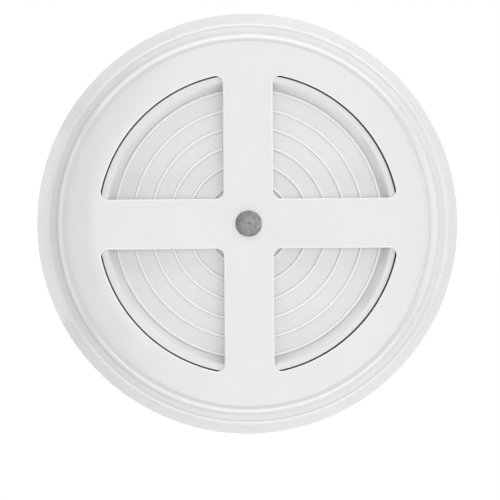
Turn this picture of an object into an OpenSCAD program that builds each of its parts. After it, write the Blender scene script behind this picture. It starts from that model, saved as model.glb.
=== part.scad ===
// Lazy susan turntable: a one-piece tray that turns on a ring of steel balls over a
// four-spoked base, held together by one rivet. Millimetres, +Z up. The origin is on the
// turning axis, in the plane of the surface that the base stands on.

/* [Tray] */
// Diameter over the lip
tray_d = 229; // [210:1:300]
// Height from the standing surface to the top of the lip
total_h = 38; // [32:1:50]
// Thickness of the tray's floor and wall
tray_t = 2.4; // [2:0.1:2.8]
// How far the lip and wall reach out past the stepped rim under the tray
lip_reach = 6.7; // [4.5:0.1:8]
// Angle that the lip leans out from upright
lip_angle = 40; // [25:1:50]
// Radius of the round on the stepped rim
step_round = 3.2; // [2:0.1:4.5]
// Number of concentric ribs under the floor
rib_count = 6; // [2:1:6]
// Distance from rib to rib
rib_pitch = 9.7; // [7:0.1:10]
// Width of a rib
rib_w = 1.2; // [0.6:0.1:1.4]
// Height of a rib
rib_h = 0.6; // [0.3:0.1:0.9]

/* [Base] */
// How far the base's edge lies inside the tray's stepped rim
base_inset = 6.0; // [5:0.1:9]
// Width of the base's ring, from its edge to the openings
ring_w = 21.3; // [20:0.1:24]
// Width of each of the four spokes
spoke_w = 26.6; // [22:0.1:34]
// Thickness of the base
base_t = 2.6; // [2.4:0.1:2.8]
// Radius of the round on the base's lower edge
edge_round = 5.3; // [3:0.1:5.4]
// Radius of the corners of the openings
corner_round = 3.9; // [2:0.1:8]
// How far the underside dishes up from the ring to the hub
dish_h = 1.8; // [1.6:0.1:2]

/* [Bearing] */
// Diameter of a ball
ball_d = 4.76; // [4.6:0.01:4.9]
// Number of balls
ball_count = 20; // [12:1:32]
// Thickness of the ball cage
cage_t = 1.2; // [0.8:0.1:1.4]

/* [Rivet] */
// Diameter of the rivet's head
head_d = 14.1; // [11:0.1:17]
// Diameter of the rivet's shank
shank_d = 5; // [4:0.1:6]
// Outer diameter of the washers
washer_d = 16; // [14:0.5:18]
// Thickness of the washers
washer_t = 1.0; // [0.8:0.1:1.1]

/* [Hidden] */
overshoot = 1;
tray_r = tray_d / 2;
step_r = tray_r - lip_reach;
base_r = step_r - base_inset;

// Levels of the base
edge_top = 5.7;
keeper_top = 4.8;
keeper_t = 1.6;
keeper_ledge = 0.4;
hub_r = 14;
hub_top = dish_h + base_t;

// Levels of the tray
roof_z = 6.4;
floor_z = 7.0;
floor_top = floor_z + tray_t;
flange_z = 3.2;
boss_r = 11;
recess_depth = 0.8;
recess_r = washer_d / 2 + 1.5;
recess_z = floor_top - recess_depth;

// Ball race: balls run half in the base and half in the tray
race_r = base_r - 10.8;
ball_z = (base_t + roof_z) / 2;
race_gap = 0.12;
pocket_gap = 0.15;
cage_w = 13;

// Openings, and the tray's race flange just inside them
opening_r = base_r - ring_w;
dish_r = opening_r + 3.5;
flange_gap = 0.6;
flange_r = opening_r - flange_gap;
flange_w = 2.8;
flange_round = 1.2;
outer_rib_r = opening_r - 9.2;

// Fits on the rivet
shank_r = shank_d / 2;
base_fit = 0.05;
turning_fit = 0.08;
washer_gap = 0.1;
thrust_top = hub_top + washer_t;
boss_z = thrust_top + washer_gap;
rivet_washer_z = recess_z + washer_gap;
rivet_washer_top = rivet_washer_z + washer_t;

// Rivet: a low domed head below, and a rolled tail above
head_t = 1.5;
head_edge = 0.6;
head_r = head_d / 2;
dome_h = head_t - head_edge;
dome_r = (head_r * head_r + dome_h * dome_h) / (2 * dome_h);
dimple_r = 0.6;
roll_t = 1.3;

// Wall of the tray: directions along it and out of it, upright part and lip
wall_draft = 2.9;
step_c = [step_r - step_round, roof_z + step_round];
wall_along = [sin(wall_draft), cos(wall_draft)];
wall_out = [cos(wall_draft), -sin(wall_draft)];
lip_along = [sin(lip_angle), cos(lip_angle)];
lip_out = [cos(lip_angle), -sin(lip_angle)];
down = [0, -1];
left = [-1, 0];
right = [1, 0];
step_corner = corner_point(step_c, step_round, wall_out, down);
rim_r = tray_t / 2;
rim_c = [tray_r - rim_r, total_h - rim_r];
rim_corner = rim_c + rim_r * (lip_out + lip_along);
wall_top = meeting_point(step_corner, wall_along, rim_corner, lip_along);
wall_top_in = corner_point(wall_top, -tray_t, wall_out, lip_out);
fillet_r = 3;
wall_foot_in = meeting_point(wall_top_in, wall_along, [0, floor_top], right);
fillet_c = corner_point(wall_foot_in, -fillet_r, wall_out, down);

// Inner side of the race flange
slope_angle = 45;
slope_out = [-sin(slope_angle), -cos(slope_angle)];
slope_along = [-cos(slope_angle), sin(slope_angle)];
flange_c = [flange_r - flange_w, flange_z + flange_round];
flange_corner = corner_point(flange_c, flange_round, slope_out, down);

// The point that lies r from c measured along each of two unit normals
function corner_point(c, r, n1, n2) = c + r * (n1 + n2) / (1 + n1 * n2);

// Where the line through p along u crosses the line through q along v
function meeting_point(p, u, q, v) =
    p + u * (((q[0] - p[0]) * v[1] - (q[1] - p[1]) * v[0]) / (u[0] * v[1] - u[1] * v[0]));

function ball_name(i) = str("ball_", i < 9 ? "0" : "", i + 1);
BALLS = [for (i = [0 : ball_count - 1]) ball_name(i)];
$fn = 96;

// What lies between a round and its sharp corner. It is cut from an outer corner to round
// it, and added to an inner corner to fillet it. The turn from n1 to n2 is anticlockwise.
module corner_piece(c, r, n1, n2) {
    reach = r + overshoot;
    difference() {
        polygon([c, c + reach * n1, corner_point(c, reach, n1, n2), c + reach * n2]);
        translate(c) circle(r);
    }
}

// Section of the ball race, which is cut from the base and from the tray
module race_groove() {
    translate([race_r, ball_z]) circle(ball_d / 2 + race_gap);
}

module base_section() {
    difference() {
        polygon([
            [shank_r + base_fit, dish_h],
            [hub_r, dish_h],
            [dish_r, 0],
            [base_r, 0],
            [base_r, edge_top],
            [base_r - base_t, edge_top],
            [base_r - base_t, base_t],
            [dish_r, base_t],
            [hub_r, hub_top],
            [shank_r + base_fit, hub_top]
        ]);
        corner_piece([base_r - edge_round, edge_round], edge_round, down, right);
        race_groove();
    }
    translate([opening_r + keeper_ledge, base_t - overshoot])
        square([keeper_t, keeper_top - base_t + overshoot]);
}

// One of the four openings between the spokes
module opening_outline() {
    inner_c = [1, 1] * (spoke_w / 2 + corner_round);
    outer_c = [sqrt(pow(opening_r - corner_round, 2) - pow(inner_c[1], 2)), inner_c[1]];
    mirrored_c = [outer_c[1], outer_c[0]];
    difference() {
        intersection() {
            circle(opening_r);
            translate([1, 1] * spoke_w / 2) square(opening_r);
        }
        corner_piece(inner_c, corner_round, left, down);
        corner_piece(outer_c, corner_round, down, outer_c / norm(outer_c));
        corner_piece(mirrored_c, corner_round, mirrored_c / norm(mirrored_c), left);
    }
}

module base() {
    color("white")
        difference() {
            rotate_extrude() base_section();
            for (quarter = [0 : 3])
                rotate(90 * quarter)
                    translate([0, 0, -overshoot])
                        linear_extrude(edge_top + overshoot) opening_outline();
        }
}

// Outline of the tray with sharp corners, from the bore out along the underside and back
// over the top
module tray_outline() {
    polygon([
        [shank_r + turning_fit, boss_z],
        [boss_r, boss_z],
        [boss_r, floor_z],
        meeting_point(flange_corner, slope_along, [0, floor_z], right),
        flange_corner,
        [flange_r, flange_z],
        [flange_r, roof_z],
        step_corner,
        wall_top,
        rim_corner,
        rim_corner - tray_t * lip_out,
        wall_top_in,
        wall_foot_in,
        [recess_r, floor_top],
        [recess_r, recess_z],
        [shank_r + turning_fit, recess_z]
    ]);
}

module rim_round() {
    translate(rim_c)
        rotate(-lip_angle)
            difference() {
                translate([-rim_r - overshoot, 0]) square([tray_t + 2 * overshoot, rim_r + overshoot]);
                circle(rim_r);
            }
}

module tray_section() {
    difference() {
        tray_outline();
        corner_piece(step_c, step_round, down, wall_out);
        corner_piece(flange_c, flange_round, slope_out, down);
        race_groove();
        rim_round();
    }
    corner_piece(fillet_c, fillet_r, down, wall_out);
    for (i = [0 : rib_count - 1])
        translate([outer_rib_r - i * rib_pitch - rib_w / 2, floor_z - rib_h])
            square([rib_w, rib_h + overshoot]);
}

module tray() {
    color("white") rotate_extrude() tray_section();
}

module washer(low) {
    color("silver")
        translate([0, 0, low])
            difference() {
                cylinder(d = washer_d, h = washer_t);
                translate([0, 0, -overshoot])
                    cylinder(r = shank_r + base_fit, h = washer_t + 2 * overshoot);
            }
}

module rivet_section() {
    head_z = dish_h - head_t;
    difference() {
        union() {
            intersection() {
                translate([0, head_z + dome_r]) circle(dome_r);
                translate([0, head_z]) square([head_r, head_t]);
            }
            translate([0, dish_h - head_edge / 2])
                square([shank_r, rivet_washer_top - dish_h + head_edge / 2]);
            intersection() {
                translate([shank_r, rivet_washer_top]) circle(roll_t);
                translate([0, rivet_washer_top]) square(shank_r + roll_t);
            }
        }
        translate([0, head_z]) circle(dimple_r);
    }
}

module centre_rivet() {
    color("silver") rotate_extrude() rivet_section();
}

module thrust_washer() {
    washer(hub_top);
}

module rivet_washer() {
    washer(rivet_washer_z);
}

module at_ball(i) {
    rotate(360 * i / ball_count) translate([race_r, 0, ball_z]) children();
}

module ball_cage() {
    color("whitesmoke")
        difference() {
            translate([0, 0, ball_z - cage_t / 2])
                difference() {
                    cylinder(r = race_r + cage_w / 2, h = cage_t);
                    translate([0, 0, -overshoot])
                        cylinder(r = race_r - cage_w / 2, h = cage_t + 2 * overshoot);
                }
            for (i = [0 : ball_count - 1])
                at_ball(i) cylinder(r = ball_d / 2 + pocket_gap, h = ball_d, center = true);
        }
}

module ball(i) {
    color("silver") at_ball(i) sphere(d = ball_d);
}

base();
tray();
centre_rivet();
thrust_washer();
rivet_washer();
ball_cage();
for (i = [0 : ball_count - 1])
    ball(i);
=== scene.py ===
"""Looks of a lazy susan turntable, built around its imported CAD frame.

Lengths inside the section and outline functions are in millimetres, as on a drawing, and
are turned into metres when a mesh is made. +Z is up and the turning axis is the Z axis.
"""

import math

import bmesh
import bpy
from mathutils import Matrix, Vector
from mathutils.geometry import delaunay_2d_cdt


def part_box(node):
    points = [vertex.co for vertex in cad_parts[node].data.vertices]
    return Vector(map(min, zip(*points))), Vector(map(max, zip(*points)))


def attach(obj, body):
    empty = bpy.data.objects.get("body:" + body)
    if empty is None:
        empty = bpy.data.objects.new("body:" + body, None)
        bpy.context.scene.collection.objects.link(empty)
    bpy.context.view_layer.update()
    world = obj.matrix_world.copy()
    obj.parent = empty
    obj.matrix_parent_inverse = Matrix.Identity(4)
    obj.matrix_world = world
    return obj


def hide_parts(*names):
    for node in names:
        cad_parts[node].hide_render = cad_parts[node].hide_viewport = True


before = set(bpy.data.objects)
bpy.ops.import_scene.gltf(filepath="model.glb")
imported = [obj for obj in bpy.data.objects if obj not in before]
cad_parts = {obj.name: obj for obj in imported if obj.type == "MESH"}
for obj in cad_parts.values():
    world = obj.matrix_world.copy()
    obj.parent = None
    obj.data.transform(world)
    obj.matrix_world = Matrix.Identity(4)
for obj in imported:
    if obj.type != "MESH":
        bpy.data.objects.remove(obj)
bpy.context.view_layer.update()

MM = 0.001
LATHE_STEPS = 280
ARC_STEP = math.radians(11)
GROOVE_STEPS = 8
# A corner whose half angle is above this is almost straight, and stays a plain point
STRAIGHT = math.radians(89.5)
# Keeps the tray's rounded rim inside the CAD part's box
INSET = 0.01
# Tones of the plastic, kept at each point of a mesh, and how far one fades into the next: plain, a
# painted highlight, a faint painted highlight and painted shade
PLAIN = 0
PAINTED_HIGHLIGHT = 1
FAINT_PAINTED_HIGHLIGHT = 0.4
PAINTED_SHADE = -1
FADE = 0.35

# ---------------------------------------------------------------- sizes from the frame


def low_high(node):
    """Lowest and highest corner of a CAD node's box, in mm."""
    low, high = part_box(node)
    return low / MM, high / MM


tray_low, tray_high = low_high("tray")
_, base_high = low_high("base")
rivet_low, rivet_high = low_high("centre_rivet")
washer_low, washer_high = low_high("rivet_washer")
thrust_low, thrust_high = low_high("thrust_washer")
_, cage_high = low_high("ball_cage")
ball_low, ball_high = low_high("ball_01")

TRAY_R = tray_high.x - INSET
TRAY_TOP = tray_high.z - INSET
FLANGE_Z = tray_low.z
BASE_R = base_high.x
EDGE_TOP = base_high.z
BALL_Z = (ball_low.z + ball_high.z) / 2
CAGE_W = 13.0
RACE_R = cage_high.x - CAGE_W / 2
HUB_TOP = thrust_low.z
WASHER_GAP = 0.1
BOSS_Z = thrust_high.z + WASHER_GAP
RECESS_Z = washer_low.z - WASHER_GAP

# The rest follows the drawing of the CAD part. The terrace's edge, the gap round the race
# flange and the ribs differ from it slightly.
TRAY_T = 2.4
BASE_T = 2.6
TERRACE_W = 5.6
STEP_R = BASE_R + TERRACE_W
STEP_ROUND = 2.6
ROOF_Z = 6.4
FLOOR_Z = 7.0
FLOOR_TOP = FLOOR_Z + TRAY_T
LIP_ANGLE = math.radians(40)
WALL_DRAFT = math.radians(2.9)
EDGE_ROUND = 5.3
RING_W = 21.3
OPENING_R = BASE_R - RING_W
SPOKE_W = 26.6
CORNER_ROUND = 3.9
DISH_H = HUB_TOP - BASE_T
DISH_R = OPENING_R + 3.5
HUB_R = 14.0
LOW_EDGE = 0.5
TOP_EDGE = 0.2
KEEPER_R = OPENING_R + 0.4
KEEPER_T = 1.6
KEEPER_TOP = 4.8
FLANGE_GAP = 0.74
FLANGE_R = OPENING_R - FLANGE_GAP
FLANGE_W = 2.8
FLANGE_ROUND = 1.2
SLOPE_ROUND = 1.6
BEND_ROUND = 2.5
BEND_ROUND_IN = 4.5
WALL_FOOT_ROUND = 3.0
RIB_COUNT = 6
RIB_PITCH = 9.7
LAST_RIB_R = OPENING_R - 9.2
RIB_R = [LAST_RIB_R - RIB_PITCH * i for i in reversed(range(RIB_COUNT))]
RIB_W = 1.25
RIB_H = 0.6
RIB_DRAFT = 0.25
RIB_ROUND = 0.25
BOSS_R = 11.0
BOSS_ROUND = 0.4
BOSS_FOOT_ROUND = 0.6
RECESS_R = 9.5
RECESS_ROUND = 0.35
SHANK_R = 2.5
HEAD_ROUND = 0.35
FIT_GAP = 0.05
BORE_GAP = 0.08
RACE_GAP = 0.12
RACE_ROUND = 0.5
GROOVE_R = (ball_high.z - ball_low.z) / 2 + RACE_GAP
# Roundings of the small corners, from the sharpest
SHARP = 0.1
CRISP = 0.15
NEAT = 0.2
EASED = 0.3

# ---------------------------------------------------------------- outlines and meshes


def direction(angle):
    """Unit vector in a section, leaning out from upright by that angle."""
    return Vector((math.sin(angle), math.cos(angle)))


def outward(angle):
    """Unit vector that faces out of a wall which leans by that angle."""
    return Vector((math.cos(angle), -math.sin(angle)))


def meeting(p, u, q, v):
    """Where the line through p along u crosses the line through q along v."""
    d = q - p
    return p + u * ((d.x * v.y - d.y * v.x) / (u.x * v.y - u.y * v.x))


def offset_corner(p, a, b, distance):
    """Where two lines meet that pass p at that distance, square to the unit vectors a and b."""
    return p + (a + b) * (distance / (1 + a.dot(b)))


def rounded(corners, closed=True):
    """Points along a line through corners (x, y, radius, mark), each rounded to its radius.
    The mark, PLAIN if left out, goes to every point of that corner."""
    points = []
    count = len(corners)
    for i, (x, y, radius, *mark) in enumerate(corners):
        p = Vector((x, y))
        mark = mark[0] if mark else PLAIN
        at_end = not closed and i in (0, count - 1)
        if radius <= 0 or at_end:
            points.append(Vector((x, y, mark)))
            continue
        before = Vector(corners[i - 1][:2]) - p
        after = Vector(corners[(i + 1) % count][:2]) - p
        before.normalize()
        after.normalize()
        half = math.acos(max(-1.0, min(1.0, before.dot(after)))) / 2
        if half > STRAIGHT:
            points.append(Vector((x, y, mark)))
            continue
        centre = p + (before + after).normalized() * (radius / math.sin(half))
        start = p + before * (radius / math.tan(half)) - centre
        end = p + after * (radius / math.tan(half)) - centre
        turn = start.angle_signed(end)
        steps = max(2, math.ceil(abs(turn) / ARC_STEP))
        for k in range(steps + 1):
            a = -turn * k / steps
            spun = centre + Matrix.Rotation(a, 2) @ start
            points.append(Vector((spun.x, spun.y, mark)))
    return faded(points, closed)


def faded(points, closed):
    """Adds points beside the marked ones, so that a mark fades out within a short way."""
    fuller = []
    following = points[1:] + (points[:1] if closed else points[-1:])
    for p, q in zip(points, following):
        fuller.append(p)
        length = (q.xy - p.xy).length
        if p.z == q.z or length < 2 * FADE:
            continue
        if p.z:
            near = p.lerp(q, FADE / length)
            fuller.append(Vector((near.x, near.y, PLAIN)))
        if q.z:
            near = q.lerp(p, FADE / length)
            fuller.append(Vector((near.x, near.y, PLAIN)))
    return fuller


def ring_arc(cx, cy, radius, start, end, steps):
    """Points on an arc, as sharp corners."""
    angles = [start + (end - start) * k / steps for k in range(steps + 1)]
    return [(cx + radius * math.cos(a), cy + radius * math.sin(a), 0) for a in angles]


# Gives corners the painted shade tone, which darkens their colour
def in_painted_shade(corners):
    return [(*corner, PAINTED_SHADE) for corner in corners]


def tone_layer(bm):
    return bm.verts.layers.float.get("tone") or bm.verts.layers.float.new("tone")


def lathe_strip(bm, section, closed=True):
    """Turns a section of (radius, height, mark) points in mm about the Z axis."""
    tone = tone_layer(bm)
    on_axis = 1e-6
    rings = []
    for point in section:
        if point.x < on_axis:
            rings.append([bm.verts.new((0, 0, point.y * MM))])
            continue
        ring = []
        for k in range(LATHE_STEPS):
            a = 2 * math.pi * k / LATHE_STEPS
            x, y = point.x * math.cos(a), point.x * math.sin(a)
            ring.append(bm.verts.new((x * MM, y * MM, point.y * MM)))
            ring[-1][tone] = point.z if len(point) > 2 else PLAIN
        rings.append(ring)
    pairs = list(zip(rings, rings[1:]))
    if closed:
        pairs.append((rings[-1], rings[0]))
    for low, high in pairs:
        for k in range(LATHE_STEPS):
            n = (k + 1) % LATHE_STEPS
            quad = [low[k % len(low)], low[n % len(low)], high[n % len(high)], high[k % len(high)]]
            corners = list(dict.fromkeys(quad))
            if len(corners) > 2:
                bm.faces.new(corners)


def finish_mesh(bm, name, smooth_angle=50):
    """Makes an object of a closed bmesh, smooth except at edges sharper than the angle."""
    same_place = 1e-7
    bmesh.ops.remove_doubles(bm, verts=bm.verts, dist=same_place)
    bmesh.ops.recalc_face_normals(bm, faces=bm.faces)
    open_edges = [e for e in bm.edges if not e.is_manifold]
    if open_edges:
        print(name, "has", len(open_edges), "open edges")
    for face in bm.faces:
        face.smooth = True
    for edge in bm.edges:
        edge.smooth = edge.calc_face_angle(0) < math.radians(smooth_angle)
    mesh = bpy.data.meshes.new(name)
    bm.to_mesh(mesh)
    bm.free()
    obj = bpy.data.objects.new(name, mesh)
    bpy.context.scene.collection.objects.link(obj)
    shading = obj.modifiers.new("face_weighted_normals", "WEIGHTED_NORMAL")
    shading.keep_sharp = True
    shading.weight = 100
    return obj


# ---------------------------------------------------------------- the pieces


def boss_and_ribs():
    """The tray's underside, from its bore to its outermost rib."""
    corners = [
        (SHANK_R + BORE_GAP, BOSS_Z, NEAT),
        (BOSS_R, BOSS_Z, BOSS_ROUND),
        (BOSS_R, FLOOR_Z, BOSS_FOOT_ROUND),
    ]
    for r in RIB_R:
        corners += [
            (r - RIB_W / 2 - RIB_DRAFT, FLOOR_Z, NEAT),
            # The rib crests carry a painted highlight: their colour is whitened
            (r - RIB_W / 2, FLOOR_Z - RIB_H, RIB_ROUND, PAINTED_HIGHLIGHT),
            (r + RIB_W / 2, FLOOR_Z - RIB_H, RIB_ROUND, PAINTED_HIGHLIGHT),
            (r + RIB_W / 2 + RIB_DRAFT, FLOOR_Z, NEAT),
        ]
    return corners


def race_flange():
    """The flange that hides the balls, sloped on its inside, and the groove above the balls."""
    down = Vector((0, -1))
    slope = Vector((-1, 1)).normalized()
    slope_out = Vector((-1, -1)).normalized()
    centre = Vector((FLANGE_R - FLANGE_W, FLANGE_Z + FLANGE_ROUND))
    foot = offset_corner(centre, slope_out, down, FLANGE_ROUND)
    slope_top = meeting(foot, slope, Vector((0, FLOOR_Z)), Vector((1, 0)))
    groove_half = math.asin((ROOF_Z - BALL_Z) / GROOVE_R)
    groove = ring_arc(RACE_R, BALL_Z, GROOVE_R, math.pi - groove_half, groove_half, GROOVE_STEPS)
    return [
        (slope_top.x, slope_top.y, SLOPE_ROUND),
        # A faint painted highlight whitens the flange's foot and outer corner
        (foot.x, foot.y, FLANGE_ROUND, FAINT_PAINTED_HIGHLIGHT),
        (FLANGE_R, FLANGE_Z, CRISP, FAINT_PAINTED_HIGHLIGHT),
        # Painted shade darkens the flange's inner side and the groove above the balls
        (FLANGE_R, ROOF_Z, NEAT, PAINTED_SHADE),
        *in_painted_shade(groove),
    ]


def wall_and_lip():
    """Up the outside of the terrace, wall and lip, and down their inside to the tray's floor."""
    upright, lip = direction(WALL_DRAFT), direction(LIP_ANGLE)
    wall_out, lip_out = outward(WALL_DRAFT), outward(LIP_ANGLE)
    step_centre = Vector((STEP_R - STEP_ROUND, ROOF_Z + STEP_ROUND))
    step = offset_corner(step_centre, wall_out, Vector((0, -1)), STEP_ROUND)
    rim_r = TRAY_T / 2
    rim_round = rim_r - 0.01
    rim = Vector((TRAY_R - rim_r, TRAY_TOP - rim_r)) + (lip_out + lip) * rim_r
    rim_in = rim - lip_out * TRAY_T
    bend = meeting(step, upright, rim, lip)
    bend_in = offset_corner(bend, wall_out, lip_out, -TRAY_T)
    foot_in = meeting(bend_in, upright, Vector((0, FLOOR_TOP)), Vector((1, 0)))
    return [
        (step.x, step.y, STEP_ROUND),
        (bend.x, bend.y, BEND_ROUND),
        (rim.x, rim.y, rim_round),
        (rim_in.x, rim_in.y, rim_round),
        (bend_in.x, bend_in.y, BEND_ROUND_IN),
        (foot_in.x, foot_in.y, WALL_FOOT_ROUND),
    ]


def tray_section():
    recess = [
        (RECESS_R, FLOOR_TOP, RECESS_ROUND),
        (RECESS_R, RECESS_Z, EASED),
        (SHANK_R + BORE_GAP, RECESS_Z, SHARP),
    ]
    return rounded(boss_and_ribs() + race_flange() + wall_and_lip() + recess)


def make_tray():
    bm = bmesh.new()
    lathe_strip(bm, tray_section())
    tray = finish_mesh(bm, "tray_moulding")
    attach(tray, "tray")
    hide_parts("tray")
    return tray


def dish(r):
    """Height of the base's underside above its ring, in mm, at a radius in mm."""
    return DISH_H * min(1.0, max(0.0, (DISH_R - r) / (DISH_R - HUB_R)))


def opening_outline(grow):
    """Outline of the first opening, grown outward by that much, as points in mm."""
    s = SPOKE_W / 2
    inner = Vector((s + CORNER_ROUND, s + CORNER_ROUND))
    outer_x = math.sqrt((OPENING_R - CORNER_ROUND) ** 2 - inner.y**2)
    low = Vector((outer_x, inner.y))
    high = Vector((inner.x, outer_x))
    low_angle, high_angle = math.atan2(low.y, low.x), math.atan2(high.y, high.x)
    r = CORNER_ROUND + grow
    side_steps, corner_steps, outer_steps = 24, 12, 64
    points = []

    def arc(centre, radius, start, end, steps):
        for k in range(steps):
            a = start + (end - start) * k / steps
            points.append(Vector((centre.x + radius * math.cos(a), centre.y + radius * math.sin(a))))

    def line(a, b, steps):
        points.extend(a.lerp(b, k / steps) for k in range(steps))

    down, left = Vector((0, -r)), Vector((-r, 0))
    line(inner + down, low + down, side_steps)
    arc(low, r, -math.pi / 2, low_angle, corner_steps)
    arc(Vector((0, 0)), OPENING_R + grow, low_angle, high_angle, outer_steps)
    arc(high, r, high_angle, math.pi, corner_steps)
    line(high + left, inner + left, side_steps)
    arc(inner, r, math.pi, 1.5 * math.pi, corner_steps)
    return points


def turned(points, quarter):
    """Points turned about the axis by that many quarter turns."""
    c, s = [(1, 0), (0, 1), (-1, 0), (0, -1)][quarter]
    return [Vector((p.x * c - p.y * s, p.x * s + p.y * c)) for p in points]


def plate_outlines(outer_r, hole_r, grow):
    """The plate's outer edge, its centre hole and its four openings."""
    loops = []
    for r in (outer_r, hole_r):
        angles = [2 * math.pi * k / LATHE_STEPS for k in range(LATHE_STEPS)]
        loops.append([Vector((r * math.cos(a), r * math.sin(a))) for a in angles])
    return loops + [turned(opening_outline(grow), quarter) for quarter in range(4)]


def plate_filling(outer_r, hole_r, grow):
    """Points between the outlines, which keep the triangles even so that the dish is smooth."""
    spacing = 3.0
    margin = 1.0
    points = []
    ring = hole_r + spacing
    while ring < outer_r - margin:
        count = 4 * max(6, round(2 * math.pi * ring / spacing / 4))
        for k in range(count):
            a = 2 * math.pi * (k + 0.5) / count
            x, y = ring * math.cos(a), ring * math.sin(a)
            off_spoke = min(abs(x), abs(y)) > SPOKE_W / 2 - grow - margin
            if not (off_spoke and ring < OPENING_R + grow + margin):
                points.append(Vector((x, y)))
        ring += spacing
    return points


def plate_face(bm, outer_r, hole_r, grow, height, mark=PLAIN):
    """One side of the base's plate: a triangulated sheet with the four openings and the hole.
    height gives its level in mm at a radius, and mark goes to the openings' edges."""
    loops = plate_outlines(outer_r, hole_r, grow)
    openings = loops[2:]
    points = []
    edges = []
    for loop in loops:
        first = len(points)
        points += loop
        edges += [(first + k, first + (k + 1) % len(loop)) for k in range(len(loop))]
    marked = range(2 * LATHE_STEPS, len(points))
    points += plate_filling(outer_r, hole_r, grow)
    for quarter in range(4):
        points += turned(opening_outline(grow + FADE), quarter)
    same_point = 1e-6
    verts, _, faces, origins, _, _ = delaunay_2d_cdt(points, edges, [], 0, same_point)
    tone = tone_layer(bm)
    made = [bm.verts.new((v.x * MM, v.y * MM, height(v.length) * MM)) for v in verts]
    for vert, sources in zip(made, origins):
        vert[tone] = mark if any(i in marked for i in sources) else PLAIN
    for face in faces:
        centre = sum((verts[i] for i in face), Vector((0, 0))) / len(face)
        in_plate = hole_r < centre.length < outer_r
        if in_plate and not any(inside(centre, opening) for opening in openings):
            bm.faces.new([made[i] for i in face])


def inside(p, loop):
    """Whether a point lies inside a closed outline."""
    hit = False
    for a, b in zip(loop, loop[1:] + loop[:1]):
        if (a.y > p.y) != (b.y > p.y) and p.x < (b.x - a.x) * (p.y - a.y) / (b.y - a.y) + a.x:
            hit = not hit
    return hit


def opening_wall(bm, quarter, levels):
    """The wall round one opening: levels are (grow, height above the dish, mark) from below."""
    tone = tone_layer(bm)
    loops = []
    for grow, z, mark in levels:
        outline = turned(opening_outline(grow), quarter)
        loop = [bm.verts.new((p.x * MM, p.y * MM, (z + dish(p.length)) * MM)) for p in outline]
        for vert in loop:
            vert[tone] = mark
        loops.append(loop)
    for low, high in zip(loops, loops[1:]):
        for k in range(len(low)):
            n = (k + 1) % len(low)
            bm.faces.new((low[k], low[n], high[n], high[k]))


def make_base():
    bm = bmesh.new()
    face_r = BASE_R - EDGE_ROUND
    hole_r = SHANK_R + FIT_GAP
    # The openings' lower edges on the underside carry a painted highlight
    plate_face(bm, face_r, hole_r, LOW_EDGE, dish, mark=PAINTED_HIGHLIGHT)
    plate_face(bm, KEEPER_R, hole_r, TOP_EDGE, lambda r: BASE_T + dish(r))
    steps = 5
    quarter_turn = [math.pi / 2 * k / steps for k in range(steps + 1)]
    # The lower rounding of each opening's wall carries the same painted highlight
    levels = [
        (LOW_EDGE * (1 - math.sin(a)), LOW_EDGE * (1 - math.cos(a)), PAINTED_HIGHLIGHT) for a in quarter_turn
    ]
    levels += [
        (TOP_EDGE * (1 - math.cos(a)), BASE_T - TOP_EDGE * (1 - math.sin(a)), PLAIN)
        for a in quarter_turn
    ]
    for quarter in range(4):
        opening_wall(bm, quarter, levels)
    groove_half = math.asin((BALL_Z - BASE_T) / GROOVE_R)
    groove = ring_arc(RACE_R, BALL_Z, GROOVE_R, -groove_half, groove_half - math.pi, GROOVE_STEPS)
    outer = [
        (face_r, 0, 0),
        (BASE_R, 0, EDGE_ROUND),
        (BASE_R, EDGE_TOP, NEAT),
        (BASE_R - BASE_T, EDGE_TOP, EASED),
        (BASE_R - BASE_T, BASE_T, RACE_ROUND),
        # Painted shade darkens the base's ball groove and the keeper round the race
        *in_painted_shade(groove),
        (KEEPER_R + KEEPER_T, BASE_T, EASED, PAINTED_SHADE),
        (KEEPER_R + KEEPER_T, KEEPER_TOP, EASED, PAINTED_SHADE),
        (KEEPER_R, KEEPER_TOP, EASED, PAINTED_SHADE),
        (KEEPER_R, BASE_T + dish(KEEPER_R), 0, PAINTED_SHADE),
    ]
    lathe_strip(bm, rounded(outer, closed=False), closed=False)
    lathe_strip(bm, [Vector((hole_r, DISH_H)), Vector((hole_r, HUB_TOP))], closed=False)
    base = finish_mesh(bm, "base_moulding")
    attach(base, "base")
    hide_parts("base")
    return base


def rivet_head():
    """A low dome with a drawn dimple, from the axis to the foot of its edge."""
    head_r = rivet_high.x
    head_low = rivet_low.z
    edge_h, edge_w = 0.6, 0.45
    edge_low = DISH_H - edge_h
    dimple_r = 0.8
    dimple = [(0, 0.3), (0.25, 0.22), (0.45, 0.06), (dimple_r, 0.02)]
    section = [Vector((r, head_low + depth)) for r, depth in dimple]
    dome_steps = 14
    dome_low = 0.015
    dome_share = 0.66
    dome_h = edge_low - head_low
    for k in range(1, dome_steps + 1):
        r = dimple_r + (head_r - edge_w - dimple_r) * k / dome_steps
        section.append(Vector((r, head_low + dome_low + dome_h * dome_share * (r / head_r) ** 2)))
    edge = [
        (section[-1].x, section[-1].y, 0),
        (head_r, edge_low, HEAD_ROUND),
        (head_r, DISH_H, CRISP),
        (SHANK_R, DISH_H, 0),
        (SHANK_R, washer_high.z, 0),
    ]
    return section + rounded(edge, closed=False)[1:]


def rivet_tail():
    """The shank's end, rolled over its washer, with a bowl in its middle."""
    roll = rivet_high.z - washer_high.z
    roll_steps = 14
    bowl_side, bowl_middle = 0.6, 0.9
    rolled = ring_arc(SHANK_R, washer_high.z, roll, 0, math.pi, roll_steps)
    return [
        *(Vector(point[:2]) for point in rolled),
        Vector((SHANK_R - roll, washer_high.z - bowl_side)),
        Vector((0, washer_high.z - bowl_middle)),
    ]


def make_rivet():
    bm = bmesh.new()
    lathe_strip(bm, rivet_head() + rivet_tail(), closed=False)
    rivet = finish_mesh(bm, "rivet_body", smooth_angle=60)
    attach(rivet, "base")
    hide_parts("centre_rivet")
    return rivet


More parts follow.
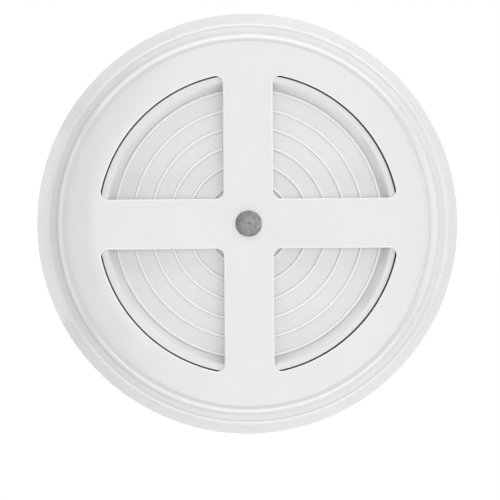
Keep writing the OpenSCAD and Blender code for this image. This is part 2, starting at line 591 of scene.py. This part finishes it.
def make_washer(name, node, edge):
    """A flat washer in place of that CAD node, with its edges rounded by edge mm."""
    low, high = low_high(node)
    bore_r = SHANK_R + FIT_GAP
    corners = [
        (bore_r, low.z, edge / 2),
        (high.x, low.z, edge),
        (high.x, high.z, edge),
        (bore_r, high.z, edge / 2),
    ]
    bm = bmesh.new()
    lathe_strip(bm, rounded(corners))
    washer = finish_mesh(bm, name)
    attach(washer, "base")
    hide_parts(node)
    return washer


# ---------------------------------------------------------------- materials


def new_material(name):
    material = bpy.data.materials.new(name)
    material.use_nodes = True
    nodes = material.node_tree.nodes
    shader = nodes["Principled BSDF"]
    place = nodes.new("ShaderNodeTexCoord")
    return material, nodes, material.node_tree.links, shader, place.outputs["Object"]


def noise(nodes, links, place, scale, detail=3.0, roughness=0.5):
    """Noise of that many features a metre."""
    texture = nodes.new("ShaderNodeTexNoise")
    texture.inputs["Scale"].default_value = scale
    texture.inputs["Detail"].default_value = detail
    texture.inputs["Roughness"].default_value = roughness
    links.new(place, texture.inputs["Vector"])
    return texture.outputs["Fac"]


def spread(nodes, links, value, low, high, start=0.3, end=0.7):
    """Maps a texture's middle range onto low to high."""
    step = nodes.new("ShaderNodeMapRange")
    step.inputs["From Min"].default_value = start
    step.inputs["From Max"].default_value = end
    step.inputs["To Min"].default_value = low
    step.inputs["To Max"].default_value = high
    links.new(value, step.inputs["Value"])
    return step.outputs["Result"]


def grey(level):
    return (level, level, level)


def two_tone(nodes, links, value, dark, light):
    """Maps a texture's middle range onto two colours."""
    ramp = nodes.new("ShaderNodeValToRGB")
    ramp.color_ramp.elements[0].position = 0.35
    ramp.color_ramp.elements[0].color = (*dark, 1)
    ramp.color_ramp.elements[1].position = 0.65
    ramp.color_ramp.elements[1].color = (*light, 1)
    links.new(value, ramp.inputs["Fac"])
    return ramp.outputs["Color"]


def faded_to(nodes, links, colour, level, amount):
    """A colour that turns into that grey as amount goes from 0 to 1."""
    mix = nodes.new("ShaderNodeMix")
    mix.data_type = "RGBA"
    mix.inputs["B"].default_value = (*grey(level), 1)
    links.new(amount, mix.inputs["Factor"])
    links.new(colour, mix.inputs["A"])
    return mix.outputs["Result"]


def add_bump(nodes, links, shader, height, distance, below=None):
    """Bumps of that height in metres, on top of the bump below."""
    bump = nodes.new("ShaderNodeBump")
    bump.inputs["Distance"].default_value = distance
    bump.inputs["Strength"].default_value = 1.0
    links.new(height, bump.inputs["Height"])
    if below is not None:
        links.new(below, bump.inputs["Normal"])
    links.new(bump.outputs["Normal"], shader.inputs["Normal"])
    return bump.outputs["Normal"]


def moulded_plastic(name, dark, light, gloss, shine=0.5):
    """Satin moulded plastic: faint clouding, a fine grain and a very slight waviness."""
    material, nodes, links, shader, place = new_material(name)
    shader.inputs["Subsurface Weight"].default_value = 0.1
    shader.inputs["Subsurface Radius"].default_value = (1, 1, 1)
    shader.inputs["Subsurface Scale"].default_value = 0.0015
    clouds = noise(nodes, links, place, scale=45, detail=4)
    cloudy = two_tone(nodes, links, clouds, dark, light)
    tone = nodes.new("ShaderNodeAttribute")
    tone.attribute_name = "tone"
    # Painted highlight: the tone whitens the colour towards 0.96 grey
    with_painted_highlight = faded_to(nodes, links, cloudy, 0.96, tone.outputs["Fac"])
    # Painted shade: the tone darkens the colour towards 0.1 grey
    painted_shade_amount = spread(nodes, links, tone.outputs["Fac"], 1, 0, start=PAINTED_SHADE, end=PLAIN)
    links.new(faded_to(nodes, links, with_painted_highlight, 0.1, painted_shade_amount), shader.inputs["Base Color"])
    grain = noise(nodes, links, place, scale=2600, detail=2)
    links.new(spread(nodes, links, grain, gloss - 0.04, gloss + 0.05), shader.inputs["Roughness"])
    waves = noise(nodes, links, place, scale=60, detail=1)
    wavy = add_bump(nodes, links, shader, waves, distance=0.00006)
    add_bump(nodes, links, shader, grain, distance=0.000006, below=wavy)
    shader.inputs["IOR"].default_value = 1.59
    shader.inputs["Specular IOR Level"].default_value = shine
    return material


def steel(name, dark, light, rough_low, rough_high, scratch):
    """Plain stamped steel: cloudy handling marks, fine scratches and small pits."""
    material, nodes, links, shader, place = new_material(name)
    shader.inputs["Metallic"].default_value = 1.0
    clouds = noise(nodes, links, place, scale=420, detail=5, roughness=0.6)
    links.new(two_tone(nodes, links, clouds, dark, light), shader.inputs["Base Color"])
    blotches = noise(nodes, links, place, scale=300, detail=4, roughness=0.7)
    links.new(spread(nodes, links, blotches, rough_low, rough_high), shader.inputs["Roughness"])
    stretch = nodes.new("ShaderNodeMapping")
    stretch.inputs["Scale"].default_value = (1.0, 12.0, 1.0)
    stretch.inputs["Rotation"].default_value = (0, 0, math.radians(35))
    links.new(place, stretch.inputs["Vector"])
    lines = noise(nodes, links, stretch.outputs["Vector"], scale=900)
    scratched = add_bump(nodes, links, shader, lines, scratch)
    dents = noise(nodes, links, place, scale=800, detail=2)
    add_bump(nodes, links, shader, dents, scratch * 2, below=scratched)
    return material


def paint(obj, material):
    obj.data.materials.clear()
    obj.data.materials.append(material)


# ---------------------------------------------------------------- floor, light and camera

PICTURE_UP = (0, 1, 0)


def make_floor():
    """A pale floor that is seen from above only, so that the underside can be looked at."""
    half_size = 4.0
    level = -0.0002
    bm = bmesh.new()
    turns = ((-1, -1), (1, -1), (1, 1), (-1, 1))
    corners = [bm.verts.new((x * half_size, y * half_size, level)) for x, y in turns]
    bm.faces.new(corners)
    mesh = bpy.data.meshes.new("floor")
    bm.to_mesh(mesh)
    bm.free()
    floor = bpy.data.objects.new("floor", mesh)
    bpy.context.scene.collection.objects.link(floor)
    material, nodes, links, shader, _ = new_material("pale_floor")
    shader.inputs["Base Color"].default_value = (*grey(0.82), 1)
    shader.inputs["Roughness"].default_value = 0.9
    side = nodes.new("ShaderNodeNewGeometry")
    clear = nodes.new("ShaderNodeBsdfTransparent")
    mix = nodes.new("ShaderNodeMixShader")
    links.new(side.outputs["Backfacing"], mix.inputs["Fac"])
    links.new(shader.outputs["BSDF"], mix.inputs[1])
    links.new(clear.outputs["BSDF"], mix.inputs[2])
    links.new(mix.outputs["Shader"], nodes["Material Output"].inputs["Surface"])
    paint(floor, material)
    floor.visible_diffuse = False
    floor.visible_glossy = False
    floor.visible_transmission = False
    floor.visible_shadow = False
    return floor


def make_world(fill):
    """A white backdrop to the camera, and an even pale fill to everything else."""
    world = bpy.data.worlds.new("studio")
    bpy.context.scene.world = world
    world.use_nodes = True
    nodes = world.node_tree.nodes
    links = world.node_tree.links
    lit = nodes["Background"]
    lit.inputs["Color"].default_value = (*grey(1), 1)
    lit.inputs["Strength"].default_value = fill
    backdrop = nodes.new("ShaderNodeBackground")
    backdrop.inputs["Color"].default_value = (*grey(1), 1)
    backdrop.inputs["Strength"].default_value = 1.0
    ray = nodes.new("ShaderNodeLightPath")
    mix = nodes.new("ShaderNodeMixShader")
    links.new(ray.outputs["Is Camera Ray"], mix.inputs["Fac"])
    links.new(lit.outputs["Background"], mix.inputs[1])
    links.new(backdrop.outputs["Background"], mix.inputs[2])
    links.new(mix.outputs["Shader"], nodes["World Output"].inputs["Surface"])


def softbox(name, place, width, height, watts, up=(0, 0, 1)):
    """A rectangular soft light that faces the object, its height along the up direction."""
    object_middle = Vector((0, 0, 0.015))
    data = bpy.data.lights.new(name, "AREA")
    data.shape = "RECTANGLE"
    data.size = width
    data.size_y = height
    data.energy = watts
    place = Vector(place)
    back = (place - object_middle).normalized()
    right = Vector(up).cross(back).normalized()
    turn = Matrix((right, back.cross(right), back)).transposed()
    light = bpy.data.objects.new(name, data)
    light.matrix_world = Matrix.Translation(place) @ turn.to_4x4()
    light.visible_camera = False
    bpy.context.scene.collection.objects.link(light)
    return light


def overhead_light(irradiance):
    """Soft even light from straight above, in watts a square metre."""
    data = bpy.data.lights.new("overhead_light", "SUN")
    data.energy = irradiance
    data.angle = math.radians(55)
    light = bpy.data.objects.new("overhead_light", data)
    bpy.context.scene.collection.objects.link(light)


def keep_off(floor, lights):
    """Keeps lights that stand through the floor from drawing bright and dark bands on it."""
    spared = bpy.data.collections.new("spared_by_side_lights")
    spared.objects.link(floor)
    spared.collection_objects[0].light_linking.link_state = "EXCLUDE"
    for light in lights:
        light.light_linking.receiver_collection = spared


def make_camera():
    """Almost straight at the underside from below, with +Y up in the picture."""
    distance = 1.45
    picture_w = 0.2657
    aside = 0.0235
    target_x = -0.0007
    picture_down = 0.0528
    roll = math.radians(0.43)
    place = Vector((aside, 0, -distance))
    target = Vector((target_x, 0, 0))
    data = bpy.data.cameras.new("camera")
    data.sensor_width = 36.0
    data.lens = data.sensor_width * distance / picture_w
    data.shift_y = -picture_down
    data.clip_start = 0.05
    data.clip_end = 20
    back = (place - target).normalized()
    right = Vector(PICTURE_UP).cross(back).normalized()
    up = back.cross(right)
    camera = bpy.data.objects.new("camera", data)
    turn = Matrix((right, up, back)).transposed() @ Matrix.Rotation(-roll, 3, "Z")
    camera.matrix_world = Matrix.Translation(place) @ turn.to_4x4()
    bpy.context.scene.collection.objects.link(camera)
    bpy.context.scene.camera = camera


# ---------------------------------------------------------------- the scene

white = moulded_plastic("white_plastic", grey(0.81), grey(0.83), gloss=0.13, shine=0.8)
nylon = moulded_plastic("natural_nylon", (0.72, 0.70, 0.64), (0.76, 0.74, 0.68), gloss=0.45)
dull_steel = steel("dull_steel", grey(0.25), grey(0.39), 0.3, 0.5, scratch=0.00001)
washer_steel = steel("stamped_steel", grey(0.48), grey(0.6), 0.25, 0.4, scratch=0.000006)
ball_steel = steel("polished_steel", (0.6, 0.6, 0.61), (0.68, 0.68, 0.69), 0.08, 0.16, scratch=0.000001)

paint(make_tray(), white)
paint(make_base(), white)
paint(make_rivet(), dull_steel)
paint(make_washer("stamped_washer", "rivet_washer", 0.25), washer_steel)
paint(make_washer("bearing_washer", "thrust_washer", 0.15), nylon)
for node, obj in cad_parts.items():
    if node.startswith("ball_"):
        paint(obj, nylon if node == "ball_cage" else ball_steel)

floor = make_floor()
make_world(0.42)
overhead_light(1.75)
softbox("front_right_box", (-1.2, 0.0, -1.8), 0.7, 1.2, 3.38, up=PICTURE_UP)
softbox("front_box", (-0.09, 0.0, -1.8), 0.42, 1.2, 3.17, up=PICTURE_UP)
softbox("front_edge_box", (0.2, 0.0, -1.8), 0.16, 1.2, 0.26, up=PICTURE_UP)
side_lights = [
    softbox("picture_top_box", (0.0, 0.95, -0.2), 2.6, 0.7, 9.53),
    softbox("picture_bottom_box", (0.0, -0.95, -0.17), 2.6, 0.6, 8.27),
    softbox("picture_right_box", (-0.95, 0.0, -0.1), 1.0, 0.6, 1.42),
    softbox("picture_right_low_box", (-1.3, 0.0, -0.9), 0.8, 1.0, 2.27, up=PICTURE_UP),
    softbox("picture_left_box", (0.95, 0.0, 0.0), 1.0, 0.6, 1.55),
]
keep_off(floor, side_lights)

make_camera()
bpy.context.scene.view_settings.view_transform = "Standard"
bpy.context.scene.cycles.filter_width = 1.25
